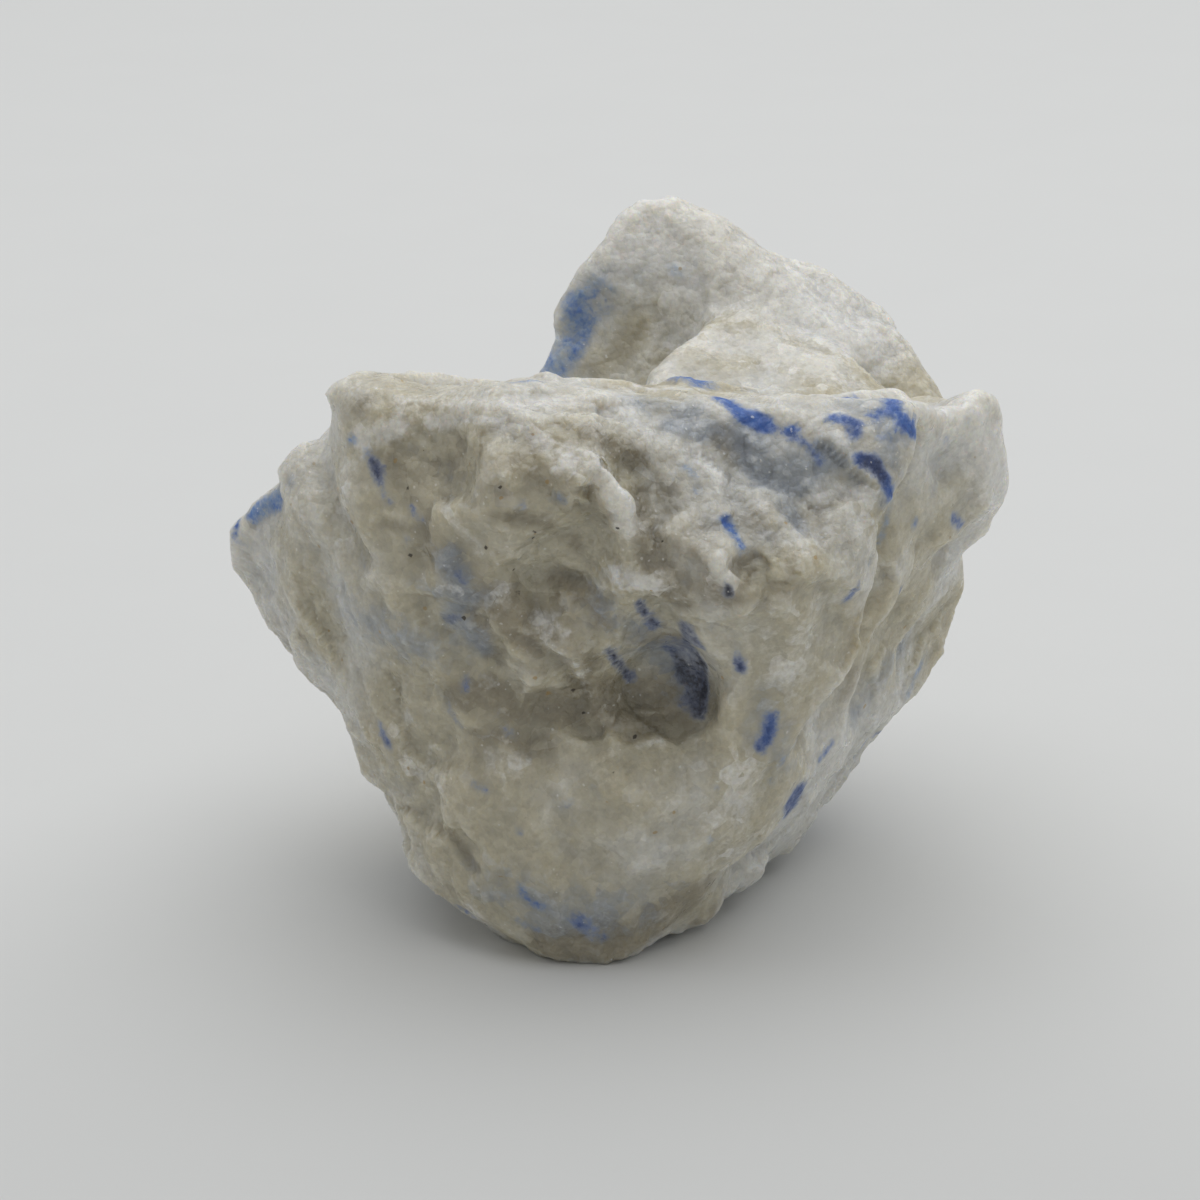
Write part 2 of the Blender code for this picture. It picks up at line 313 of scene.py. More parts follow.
def breakFlat(points, normals, strength, look):
    # grains: every point drops on to the plane of the grain that it is in
    chooser = np.random.default_rng(look["seed"])
    run = np.array(roughStone["grainRun"]) / np.linalg.norm(roughStone["grainRun"])
    squeezed = points - np.outer(points @ run, run) * (1 - 1 / look["long"])
    area = len(points) * roughStone["grid"] ** 2
    count = int(area / (look["spacing"] ** 2 * look["long"]))
    seeds = chooser.choice(len(points), count, replace=False)
    tree = treeOf(squeezed[seeds])
    mine = seeds[[tree.find(p)[1] for p in squeezed]]
    faces = normals + chooser.normal(0, look["tilt"], normals.shape)
    faces = faces / np.linalg.norm(faces, axis=1)[:, None]
    height = np.einsum("ij,ij->i", points[mine] - points, faces[mine])
    most = roughStone["drop"] * look["spacing"]
    move = np.clip(height * look["share"], -most, most) * strength
    return points + move[:, None] * faces[mine]


def addCrumbs(points, normals, strength, look):
    # small domes side by side, with a crease between each and the next
    chooser = np.random.default_rng(look["seed"])
    count = int(len(points) * roughStone["grid"] ** 2 / look["spacing"] ** 2)
    tree = treeOf(points[chooser.choice(len(points), count, replace=False)])
    apart = np.array([tree.find(p)[2] for p in points]) / look["spacing"]
    top, power = roughStone["dome"]
    height = look["height"] * (top - np.minimum(apart, 1.0) ** power) * strength
    return points + height[:, None] * normals


def fineSkin():
    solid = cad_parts["stone"]
    skin = bpy.data.objects.new("rough_stone", solid.data.copy())
    bpy.context.scene.collection.objects.link(skin)
    remesh = skin.modifiers.new("fine", "REMESH")
    remesh.mode = "VOXEL"
    remesh.voxel_size = roughStone["grid"] * mm
    graph = bpy.context.evaluated_depsgraph_get()
    skin.data = bpy.data.meshes.new_from_object(skin.evaluated_get(graph))
    skin.modifiers.clear()
    return skin


def shapeStone():
    skin = fineSkin()
    mesh = skin.data
    points = pointsOf(mesh)
    print("stone:", len(points), "points")
    share, passes = roughStone["soften"]
    for _ in range(passes):
        points = soften(mesh, points, share)
    setPoints(mesh, points)
    normals = normalsOf(mesh)
    for _ in range(roughStone["evenNormals"]):
        normals = neighbourMean(mesh, normals)
    normals = normals / np.linalg.norm(normals, axis=1)[:, None]
    flat, lively = np.ones((2, len(points)))
    for start, end, reach, plates, crumbs in roughStone["quiet"].values():
        near = fade(fromSegment(points, start, end) / reach)
        flat = flat * (1 - plates * near)
        lively = lively * (1 - crumbs * near)
    points = raiseSteps(skin, points, normals)
    points = breakFlat(points, normals, flat, roughStone["plates"])
    points = breakLedges(points, flat, roughStone["ledges"])
    points = breakFlat(points, normals, flat, roughStone["flakes"])
    for number, (height, size) in enumerate(roughStone["lumps"]):
        points = points + (height * waves(points, size, number))[:, None] * normals
    for look in roughStone["crumbs"]:
        points = addCrumbs(points, normals, lively, look)
    points = soften(mesh, points, roughStone["lastSoften"])
    low, high = (np.array(corner) / mm for corner in cadBox)
    points = np.clip(points, low, high)
    setPoints(mesh, points)
    paint(mesh, "crumbly", lively)
    mesh.shade_smooth()
    mesh.set_sharp_from_angle(angle=math.radians(roughStone["crispAngle"]))
    return skin


# Where the blue is: each mark is a path over the photograph, its half width in
# pixels, how dark it is, from 0, pale, through 0.4, royal blue, to 1, navy, and
# how fully it covers the quartz

marks = {
    "wing patch": ([(253, 515), (265, 507), (279, 499)], 12, 0.2, 0.85),
    "wing edge": ([(238, 522), (235, 537), (239, 552)], 6, 0.35, 0.75),
    "pale fleck on the spur": ([(347, 442), (355, 438)], 5, 0.1, 0.75),
    "pale fleck below": ([(366, 450), (369, 458)], 4, 0.1, 0.5),
    "left navy streak": ([(375, 464), (379, 478)], 7, 0.85, 0.95),
    "left navy streak tail": ([(380, 482), (384, 497), (390, 503)], 4, 0.6, 0.6),
    "below the left streak": ([(410, 506), (417, 516), (424, 521)], 5, 0.5, 0.6),
    "left face low dot": ([(405, 537), (409, 543)], 4, 0.5, 0.5),
    "left face lowest dot": ([(362, 557), (365, 570)], 4, 0.3, 0.45),
    "rim fleck": ([(512, 383), (530, 380), (545, 382)], 5, 0.4, 0.8),
    "left face needle": ([(556, 497), (565, 501)], 4, 0.25, 0.85),
    "left face dot": ([(521, 500), (521, 510)], 3, 0.4, 0.6),
    "left shadow spot": ([(456, 572), (464, 583)], 6, 0.8, 0.6),
    "left shadow dot": ([(446, 618), (460, 617)], 7, 0.95, 0.6),
    "left low dot": ([(466, 678), (463, 692)], 5, 0.5, 0.6),
    "left low faint": ([(437, 686), (438, 694)], 6, 0.2, 0.35),
    "left low chip": ([(447, 700), (450, 712), (463, 728)], 3, 0.45, 0.5),
    "left low streak": ([(500, 702), (500, 716)], 4, 0.4, 0.4),
    "left low streak end": ([(505, 728), (513, 736)], 5, 0.6, 0.65),
    "left edge streak": ([(378, 722), (384, 735), (390, 747)], 6, 0.5, 0.65),
    "rim streak": ([(722, 398), (732, 405), (741, 412), (755, 420), (766, 425)],
                   11, 0.45, 1.15),
    "rim streak end": ([(786, 432), (794, 430)], 7, 0.3, 0.85),
    "rim streak thread": ([(786, 436), (803, 442), (815, 451), (822, 464)], 4, 0.5, 0.7),
    "shoulder blotch": ([(831, 418), (843, 418)], 8, 0.45, 0.95),
    "shoulder blotch low": ([(853, 423), (857, 432), (851, 436)], 8, 0.5, 0.9),
    "corner blotch": ([(892, 402), (898, 413), (905, 422), (916, 431)], 11, 0.45, 1.1),
    "corner blotch left": ([(873, 415), (886, 411)], 7, 0.4, 0.85),
    "corner blotch low": ([(876, 438), (892, 436)], 5, 0.35, 0.7),
    "corner blotch middle": ([(880, 425), (895, 428)], 9, 0.3, 0.45),
    "navy hook": ([(860, 459), (872, 462), (881, 471), (887, 484), (891, 498)], 8, 0.5, 1.0),
    "navy hook core": ([(870, 464), (880, 474)], 8, 0.8, 0.9),
    "navy hook tail": ([(891, 502), (886, 522), (880, 540), (869, 563)], 5, 0.05, 0.55),
    "ridge streak": ([(858, 586), (850, 596), (845, 601)], 4, 0.55, 0.8),
    "shoulder needle": ([(724, 520), (732, 532), (742, 548)], 7, 0.32, 1.0),
    "pale shoulder needle": ([(683, 466), (692, 472)], 4, 0.1, 0.7),
    "pale shoulder needle low": ([(695, 480), (697, 492)], 4, 0.2, 0.5),
    "small dot": ([(682, 580), (688, 584)], 4, 0.4, 0.45),
    "dark spot": ([(727, 587), (729, 596)], 6, 1.2, 0.9),
    "hollow streak": ([(607, 648), (617, 663), (627, 674), (631, 679)], 5, 0.95, 1.0),
    "hollow upper streak": ([(639, 603), (647, 615), (658, 628)], 4, 0.9, 0.95),
    "hollow patch": ([(686, 628), (690, 655), (693, 690), (698, 708)], 12, 0.85, 0.7),
    "hollow patch left": ([(681, 660), (688, 684)], 10, 1.05, 0.75),
    "hollow patch spot": ([(668, 648), (674, 656)], 7, 0.7, 0.7),
    "hollow patch foot": ([(676, 700), (684, 706)], 6, 0.5, 0.6),
    "hollow patch top": ([(697, 640), (702, 648)], 6, 0.6, 0.7),
    "hollow patch haze": ([(670, 640), (678, 655)], 12, 0.8, 0.6),
    "hollow patch right": ([(702, 662), (704, 688), (701, 714)], 8, 1.0, 0.85),
    "panel streak": ([(736, 643), (738, 655)], 4, 0.6, 0.6),
    "panel streak low": ([(738, 658), (741, 671)], 6, 0.75, 1.0),
    "panel patch": ([(772, 716), (768, 733), (762, 745)], 9, 0.55, 0.95),
    "panel dot": ([(772, 778), (773, 784)], 4, 0.35, 0.6),
    "panel pale dot": ([(784, 756), (782, 764)], 6, 0.2, 0.5),
    "panel faint dot": ([(715, 787), (717, 791)], 5, 0.2, 0.45),
    "flank streak": ([(833, 742), (826, 752), (818, 763)], 6, 0.4, 0.75),
    "knob dot": ([(953, 518), (961, 526)], 8, 0.55, 0.85),
    "knob faint top": ([(967, 418), (968, 426)], 7, 0.05, 0.45),
    "knob faint dot": ([(945, 438), (946, 443)], 4, 0.4, 0.6),
    "knob faint streak": ([(936, 484), (931, 498)], 5, 0.1, 0.45),
    "knob faint low": ([(915, 520), (914, 529)], 5, 0.2, 0.55),
    "low dot": ([(473, 783), (487, 790)], 4, 0.45, 0.6),
    "low left pin": ([(406, 794), (409, 796)], 3, 0.3, 0.5),
    "low middle dot": ([(565, 808), (573, 800)], 4, 0.4, 0.5),
    "low middle fleck": ([(592, 785), (601, 800)], 5, 0.25, 0.45),
    "low left dot": ([(518, 830), (521, 833)], 4, 0.5, 0.65),
    "low left pair": ([(538, 841), (538, 846)], 3, 0.5, 0.45),
    "low middle pin": ([(554, 804), (554, 808)], 3, 0.4, 0.45),
    "right low dot": ([(709, 838), (712, 842)], 5, 0.15, 0.45),
    "foot fleck": ([(519, 883), (523, 890)], 5, 0.3, 0.75),
    "foot streak": ([(523, 896), (532, 903), (547, 907)], 6, 0.35, 0.7),
    "foot pale streak": ([(515, 918), (525, 925), (538, 930)], 5, 0.2, 0.55),
    "foot blotch": ([(577, 921), (585, 926)], 12, 0.55, 0.65),
    "foot blotch low": ([(589, 932), (598, 937)], 12, 0.4, 0.5),
    "foot edge streak": ([(458, 906), (474, 916), (485, 927)], 5, 0.35, 0.6),
    "peak patch": ([(581, 306), (576, 330), (565, 350), (553, 368)], 21, 0.18, 0.72),
    "peak pale patch": ([(594, 284), (607, 288)], 12, 0.0, 0.55),
    "peak dot": ([(726, 329), (729, 332)], 5, 0.2, 0.5),
    "peak pale fleck": ([(672, 268), (680, 274)], 8, 0.0, 0.5),
    "violet edge": ([(925, 655), (915, 676), (907, 697)], 9, 0.1, 0.55),
}

# Grey-blue haze inside the quartz, clear quartz that looks darker, which is also
# painted shade in the hollow, the recesses, the undersides and the faces turned from
# the light, warm cream quartz and milky quartz, which is also painted light on the
# rim, the crests, the slab, the peak and the knob: path, half width in pixels, how much
hazes = {
    "rim haze": ([(632, 400), (665, 405), (700, 412)], 20, 0.9),
    "rim haze low": ([(670, 425), (700, 432)], 14, 1.2),
    "shoulder haze": ([(745, 440), (765, 470), (800, 475), (830, 460)], 24, 1.35),
    "shoulder haze left": ([(712, 428), (745, 440)], 16, 0.9),
    "shoulder haze low": ([(785, 500), (800, 530)], 14, 1.1),
    "shoulder haze right": ([(840, 470), (870, 485)], 18, 0.8),
    "corner haze": ([(850, 405), (880, 400), (895, 440), (885, 500)], 24, 0.9),
    "needle haze": ([(735, 530), (790, 540)], 20, 0.6),
    "flank haze": ([(905, 640), (875, 690), (855, 715)], 20, 0.8),
    "wing haze": ([(268, 490), (290, 482)], 12, 0.8),
    "left haze": ([(345, 610), (385, 635), (440, 650)], 34, 0.75),
    "left haze high": ([(420, 590), (455, 595), (475, 590)], 20, 0.75),
    "left haze dark": ([(448, 560), (466, 590), (456, 616), (480, 645)], 17, 1.3),
    "left face tint": ([(455, 480), (470, 500)], 18, 0.4),
    "hollow haze": ([(600, 610), (640, 640), (690, 680)], 28, 0.8),
    "hollow rim haze": ([(600, 565), (625, 580)], 14, 0.5),
    "panel haze": ([(765, 700), (785, 770)], 26, 0.6),
    "foot haze": ([(500, 890), (570, 920), (640, 905)], 38, 0.8),
    "peak haze": ([(565, 320), (600, 275), (690, 268)], 26, 0.7),
    "slab haze": ([(700, 275), (760, 285), (800, 320)], 20, 0.4),
    "rim left haze": ([(360, 395), (440, 395), (560, 388)], 14, 0.4),
    "knob haze": ([(955, 450), (990, 500)], 20, 0.15),
}
# painted shade: most of these strokes darken the hollow, the recesses, the undersides and the
# faces turned from the light, together with the darker clear quartz
clearsAndShade = {
    "hollow": ([(605, 700), (650, 705), (695, 690)], 30, 1.5),
    "above the recess": ([(500, 600), (540, 625), (590, 660)], 22, 0.7),
    "hollow roof": ([(640, 640), (680, 640)], 20, 1.0),
    "recess": ([(545, 705), (575, 712), (580, 688)], 20, 1.3),
    "beside the cream ridge": ([(637, 495), (646, 535), (656, 575), (675, 600)], 16, 1.2),
    "under the ledge": ([(558, 578), (588, 592), (602, 622)], 16, 1.2),
    "left face upper": ([(498, 516), (540, 522), (580, 548)], 12, 0.9),
    "left face": ([(400, 470), (480, 462), (560, 480), (600, 510)], 34, 0.55),
    "left face low": ([(440, 560), (490, 600), (560, 640)], 44, 0.7),
    "shoulder front": ([(660, 500), (700, 530), (760, 520), (820, 520)], 34, 0.5),
    "left face fold": ([(385, 522), (426, 536)], 10, 0.6),
    "left shadow": ([(462, 600), (476, 628), (492, 652)], 14, 1.1),
    "middle": ([(506, 632), (530, 646)], 12, 0.9),
    "low left": ([(460, 690), (500, 700)], 22, 0.9),
    "low middle": ([(480, 740), (540, 745)], 20, 0.6),
    "grey rim pane": ([(592, 432), (618, 452), (636, 460)], 12, 1.1),
    "shoulder pane": ([(722, 438), (736, 456)], 14, 1.2),
    "shoulder foot pane": ([(736, 568), (750, 560), (744, 580)], 11, 1.1),
    "under the shoulder": ([(690, 585), (730, 600), (790, 592)], 14, 0.6),
    "spur recess": ([(345, 412), (368, 402)], 13, 0.7),
    "under the foot": ([(560, 948), (640, 935), (700, 895)], 28, 1.2),
    "peak left face": ([(600, 365), (622, 350), (642, 328)], 20, 0.55),
    "low left pane": ([(450, 832), (465, 850), (474, 868)], 11, 0.8),
    "flank": ([(865, 650), (840, 700)], 20, 0.6),
}
warms = {
    "left face": ([(420, 500), (480, 600), (450, 760), (500, 880)], 130, 1.0),
    "middle": ([(540, 500), (600, 600), (620, 760)], 100, 0.9),
    "panel": ([(800, 600), (780, 700), (740, 840)], 80, 0.9),
    "flank": ([(935, 550), (880, 640)], 70, 0.95),
    "wing": ([(290, 550), (330, 640)], 50, 0.7),
    "cream ridge": ([(560, 440), (620, 480)], 40, 0.8),
    "slab": ([(680, 350), (780, 360), (840, 380)], 50, 0.6),
    "peak recess": ([(600, 365), (622, 350), (642, 328)], 26, 0.7),
    "below": ([(600, 930), (700, 900)], 60, 0.6),
}
# painted light: these strokes whiten the rim, the crests, the ridges, the slab, the peak and
# the knob where the light falls, together with milky quartz
milksAndLight = {
    "rim": ([(400, 400), (470, 405), (520, 404), (580, 398), (640, 390), (700, 388)], 11, 0.8),
    "crest": ([(430, 422), (470, 415), (505, 418), (535, 432), (555, 454)], 10, 0.9),
    "cream ridge": ([(566, 458), (590, 456), (608, 475), (622, 500), (630, 525)], 18, 1.1),
    "left top": ([(360, 440), (385, 430), (402, 424)], 13, 0.9),
    "left edge": ([(345, 465), (342, 500), (348, 540)], 15, 0.6),
    "left strip": ([(450, 520), (478, 545), (500, 585)], 13, 0.5),
    "left chips": ([(425, 582), (470, 590)], 10, 0.5),
    "hollow crumbs": ([(608, 572), (640, 582), (655, 586)], 12, 0.9),
    "middle crumb": ([(545, 622), (565, 634)], 11, 0.7),
    "recess edge": ([(545, 642), (575, 665), (592, 692)], 8, 0.6),
    "recess right edge": ([(625, 690), (605, 700)], 8, 0.5),
    "shoulder lump": ([(690, 515), (700, 545), (725, 556)], 12, 0.3),
    "shoulder streak": ([(690, 448), (720, 478), (762, 505)], 8, 0.7),
    "rim lump": ([(625, 412), (645, 432)], 13, 0.9),
    "upper panel": ([(805, 545), (850, 515), (868, 540)], 24, 0.6),
    "shoulder crumbs": ([(745, 515), (770, 540), (800, 560)], 12, 0.6),
    "corner crumbs": ([(825, 492), (865, 495)], 14, 0.9),
    "recess floor": ([(590, 745), (640, 748), (700, 770)], 24, 0.3),
    "floor crumb": ([(640, 745), (660, 741)], 7, 0.8),
    "low left crumb": ([(492, 756), (520, 770)], 14, 0.5),
    "foot": ([(560, 850), (620, 858), (680, 835)], 24, 0.15),
    "peak": ([(625, 205), (670, 215), (700, 245), (770, 280), (850, 330)], 50, 1.6),
    "peak face": ([(620, 240), (660, 250), (690, 290), (740, 300)], 36, 1.1),
    "slab": ([(680, 335), (760, 345), (840, 370)], 34, 0.9),
    "slab edge": ([(640, 360), (665, 338), (700, 335)], 14, 0.6),
    "knob": ([(965, 420), (985, 440), (1000, 470), (1005, 520)], 34, 1.3),
    "left low": ([(400, 740), (430, 780)], 30, 0.45),
    "lower panel": ([(800, 620), (790, 680), (760, 640)], 34, 0.5),
    "low panel": ([(735, 780), (740, 850)], 34, 0.6),
    "flank edge": ([(950, 560), (935, 600), (900, 660)], 16, 0.5),
}
specks = {
    "largest": (518, 593, 5), "upper left": (410, 555, 4), "upper middle": (500, 488, 3),
    "pair": (534, 532, 4), "pair low": (533, 538, 3), "pair top": (539, 527, 2),
    "left": (486, 547, 4), "middle": (512, 570, 4), "left low": (464, 618, 4),
    "ledge": (584, 713, 4), "ledge right": (634, 737, 4), "right": (662, 541, 3),
    "foot": (612, 774, 4), "high": (423, 449, 3), "far left": (407, 488, 3),
    "brown": (574, 690, 5), "upper right": (617, 528, 3), "low left": (455, 680, 3),
}
rusts = {
    "foot": (502, 877, 5), "low left": (424, 781, 4), "recess": (549, 693, 5),
    "left edge": (352, 522, 5), "middle": (608, 803, 4),
}

# Broken steps: a path over the photograph, with the higher side on its left
# hand, and how high the step is, in millimetres
steps = {
    "crest": ([(425, 430), (465, 415), (505, 416), (535, 431), (556, 456)], 0.22),
    "cream ridge": ([(634, 548), (631, 512), (613, 475), (593, 453), (568, 452)], 0.50),
    "ledge over the hollow": ([(545, 567), (580, 573), (615, 590), (655, 598), (690, 612)],
                              0.40),
    "middle ledge": ([(500, 624), (545, 644), (575, 668), (593, 692), (601, 716)], 0.38),
    "left ledge": ([(440, 598), (478, 606), (500, 640), (516, 672)], 0.32),
    "shoulder foot": ([(690, 553), (715, 573), (735, 557), (760, 551), (775, 575), (800, 578),
                       (838, 586)], 0.40),
    "shoulder crevice": ([(660, 472), (685, 492), (706, 506)], 0.22),
    "shoulder step": ([(802, 545), (786, 495), (756, 480), (725, 455)], 0.28),
    "recess floor": ([(722, 702), (700, 736), (650, 743), (600, 736), (560, 740)], 0.28),
    "low left pane": ([(440, 820), (465, 825), (477, 850), (482, 875)], 0.20),
    "low left chip": ([(445, 698), (463, 722), (490, 742)], 0.22),
    "left face fold": ([(400, 505), (428, 520), (432, 545)], 0.18),
    "rim pane": ([(585, 420), (612, 440), (645, 462)], 0.22),
    "left edge": ([(350, 560), (380, 590), (395, 625)], 0.22),
    "low edge": ([(420, 770), (445, 800), (455, 815)], 0.20),
}
step = {
    "reach": 2.6, "crisp": 0.22,
    "ragged": (0.45, 1.3, 3.0),          # amount, size and shift of its waves
    "search": 1.5,                       # points this many reaches away are looked at
    "ends": 1.2,                         # it grows from nothing over this length
}

# How a path becomes a stroke of points. A mark's half width, in pixels, is taken
# this much wider, and its colour is fully there over a firm middle.
strokes = {
    "apart": 3.0,                        # pixels between the places on a path
    "coarse": 8,                         # the same for areas and steps
    "wider": 1.35, "firm": 1.8,
    "darkWider": 1.6, "darkFirm": 2.0,   # the dark core, next to the blue
    "least": 0.42,                       # the smallest reach, which the mesh can show
    "areaWider": 1.6,
    "dotWider": 1.1,
}


def toPixels(points):
    # where points, in millimetres, show on the photograph
    out = np.array(towardsCamera())
    up = np.cross(out, (1, 0, 0))
    seen = points - np.array(photo["aim"]) - out * photo["distance"]
    scale = photo["distance"] / photo["width"] * photo["pixels"] / -(seen @ out)
    return photo["pixels"] / 2 + np.stack([seen[:, 0] * scale, -(seen @ up) * scale], axis=1)


def raiseSteps(skin, points, normals):
    solid = BVHTree.FromObject(skin, bpy.context.evaluated_depsgraph_get())
    tree = treeOf(points)
    pixel = photo["width"] / photo["pixels"]
    move = np.zeros(len(points))
    ragged, raggedSize, shift = step["ragged"]
    for path, height in steps.values():
        near = set()
        for middle in alongPath(solid, path, strokes["coarse"]):
            around = tree.find_range(middle, step["reach"] * step["search"])
            near.update(found[1] for found in around)
        near = np.array(sorted(near))
        places = toPixels(points[near])
        best = np.full(len(near), np.inf)
        side = np.zeros(len(near))
        for start, end in zip(np.array(path[:-1], float), np.array(path[1:], float)):
            along = end - start
            share = np.clip((places - start) @ along / (along @ along), 0, 1)
            gap = places - start - share[:, None] * along
            apart = np.linalg.norm(gap, axis=1)
            leftHand = gap @ np.array((along[1], -along[0]))
            side = np.where(apart < best, np.sign(leftHand), side)
            best = np.minimum(best, apart)
        ends = np.minimum(*(np.linalg.norm(places - np.array(path[end], float), axis=1)
                            for end in (0, -1)))
        offset = side * best * pixel
        offset += ragged * waves(points[near], raggedSize, shift)
        shape = np.tanh(offset / step["crisp"]) * fade(np.abs(offset) / step["reach"])
        move[near] += height * shape * np.clip(ends * pixel / step["ends"], 0, 1)
    return points + move[:, None] * normals


def alongPath(skin, path, apart):
    # the path's points on the stone, a few pixels apart, in millimetres
    found = []
    for start, end in zip(path, path[1:]):
        length = math.dist(start, end)
        count = max(2, int(length / apart) + 1)
        for number in range(count):
            share = number / (count - 1)
            pixel = [a + (b - a) * share for a, b in zip(start, end)]
            hit = underPixel(skin, pixel)
            if hit is not None:
                found.append(np.array(hit) / mm)
    return found


def dab(points, tree, spine, reach, amount, values, firm=1.0):
    # lays a soft stroke around a spine of points, keeping what is stronger
    for middle in spine:
        for _, index, distance in tree.find_range(middle, reach):
            near = min(1.0, firm * (1 - distance / reach))
            values[index] = max(values[index], amount * near)


# Random marks on the sides that the photograph doesn't show
unseen = {
    "seed": 31,
    "facing": 0.05,                      # a side turned less to the camera is unseen
    "lowest": 0.3,
    "pieces": 8,                         # of a streak
    "lean": 0.35,                        # how far its way strays from the plates' run
    "streaks": 90, "length": (0.8, 4.0), "halfWidth": (0.22, 0.55),
    "tone": (0.1, 0.9), "cover": (0.5, 1.0),
    "blotches": 9, "blotchSize": (0.9, 2.0), "blotchLong": 1.5,
    "blotchTone": (0.3, 0.9), "blotchCover": 0.9,
    # how many, how long, reach, amount
    "areas": {
        "haze": (12, 5.0, 3.0, (0.4, 1)),
        "warm": (14, 9.0, 7.0, (0.6, 1)),
        "clear": (16, 5.0, 3.2, (0.3, 0.8)),
        "milk": (14, 6.0, 1.6, (0.4, 1)),
    },
    "dots": {"speck": 30, "rust": 6},
    "dotReach": 0.3,
}
standingProud = {"passes": 6, "contrast": 3.5}


def paintMarks(skin):
    mesh = skin.data
    points = pointsOf(mesh)
    normals = normalsOf(mesh)
    tree = treeOf(points)
    solid = BVHTree.FromObject(skin, bpy.context.evaluated_depsgraph_get())
    pixel = photo["width"] / photo["pixels"]
    names = ("blue", "dark", "haze", "clear", "warm", "milk", "speck", "rust")
    values = {name: np.zeros(len(points)) for name in names}

    def lay(spine, reach, tone, cover):
        reach = max(reach, strokes["least"])
        dab(points, tree, spine, reach, cover, values["blue"], strokes["firm"])
        dab(points, tree, spine, reach * strokes["darkWider"], tone, values["dark"],
            strokes["darkFirm"])

    for path, halfWidth, tone, cover in marks.values():
        spine = alongPath(solid, path, strokes["apart"])
        lay(spine, halfWidth * pixel * strokes["wider"], tone, cover)
    for name, places in (("haze", hazes), ("clear", clearsAndShade), ("warm", warms), ("milk", milksAndLight)):
        for path, halfWidth, amount in places.values():
            reach = halfWidth * pixel * strokes["areaWider"]
            spine = alongPath(solid, path, strokes["coarse"])
            dab(points, tree, spine, reach, amount, values[name])
    for name, places in (("speck", specks), ("rust", rusts)):
        for column, row, size in places.values():
            hit = np.array(underPixel(solid, (column, row))) / mm
            dab(points, tree, [hit], size * pixel * strokes["dotWider"], 1.0, values[name])

    chooser = random.Random(unseen["seed"])
    facing = normals @ np.array(towardsCamera())
    hidden = np.flatnonzero((facing < unseen["facing"]) & (points[:, 2] > unseen["lowest"]))
    run = Vector(roughStone["grainRun"])
    pieces = unseen["pieces"]

    def streak(length):
        at = int(chooser.choice(hidden))
        lean = Vector([chooser.gauss(0, unseen["lean"]) for _ in range(3)])
        out = Vector(normals[at])
        way = run + lean
        way = (way - out * way.dot(out)).normalized()
        start = Vector(points[at])
        return [start + way * (length * number / pieces - length / 2)
                for number in range(pieces + 1)]

    for _ in range(unseen["streaks"]):
        length = chooser.uniform(*unseen["length"])
        lay(streak(length), chooser.uniform(*unseen["halfWidth"]),
            chooser.uniform(*unseen["tone"]), chooser.uniform(*unseen["cover"]))
    for _ in range(unseen["blotches"]):
        size = chooser.uniform(*unseen["blotchSize"])
        lay(streak(size * unseen["blotchLong"]), size,
            chooser.uniform(*unseen["blotchTone"]), unseen["blotchCover"])
    for name, (count, length, reach, amounts) in unseen["areas"].items():
        for _ in range(count):
            dab(points, tree, streak(length), reach, chooser.uniform(*amounts), values[name])
    for name, count in unseen["dots"].items():
        for _ in range(count):
            dab(points, tree, [points[int(chooser.choice(hidden))]], unseen["dotReach"], 1.0,
                values[name])

    for name in ("blue", "dark"):
        values[name] = neighbourMean(mesh, values[name])

    # how much each point stands proud of the stone around it, or lies below
    broad = points
    for _ in range(standingProud["passes"]):
        broad = neighbourMean(mesh, broad)
    proud = np.einsum("ij,ij->i", points - broad, normals)
    values["proud"] = np.clip(0.5 + proud * standingProud["contrast"], 0, 1)

    for name, column in values.items():
        paint(mesh, name, column)
    print("marks:", len(marks), "seen ones and", unseen["streaks"], "on the other sides")


quartz = {
    "cream": (0.57, 0.530, 0.405),
    "white": (0.72, 0.715, 0.67),
    "smokyAndShade": (0.285, 0.25, 0.178),
    "hazeBlue": (0.30, 0.345, 0.41),
    "bruisedAndLit": (0.84, 0.835, 0.80),
    "speck": (0.045, 0.032, 0.02),
    "ochre": (0.42, 0.27, 0.08),
    "paintedSparkle": (0.93, 0.93, 0.91),
    # sizes of its clouds and of its grains
    "cloud": 4.6, "mottle": 1.6, "sugar": 0.32,
    "flake": 2.0, "crumb": 0.92, "grain": 0.45,
    "stir": (2.6, 0.16),                 # how finely and how far the grains are stirred
    "bands": (1.5, 4.5),                 # width and length of its clear bands
    "roughness": 0.44,
    "glow": 0.85,                        # light that spreads inside the quartz
    "glowReach": 2.3,
    "bump": 0.8,
    "bumpHeight": 0.22,
}
dumortierite = {
    "pale": (0.25, 0.40, 0.62),
    "royal": (0.045, 0.150, 0.49),
    "deep": (0.024, 0.060, 0.21),
    "navy": (0.010, 0.014, 0.040),
    "fibre": (0.20, 0.55),               # width and length of its fibres
    "slant": 54,                         # they run down to the right, degrees
}
# How far each colour covers what lies under it, where it is strongest
strongest = {"smokyAndShade": 0.74, "haze": 0.7, "milkyAndLight": 0.7, "scattered": 0.6, "washed": 0.45,
             "ink": 0.95, "speck": 0.9, "rust": 0.7, "paintedSparkle": 0.45}


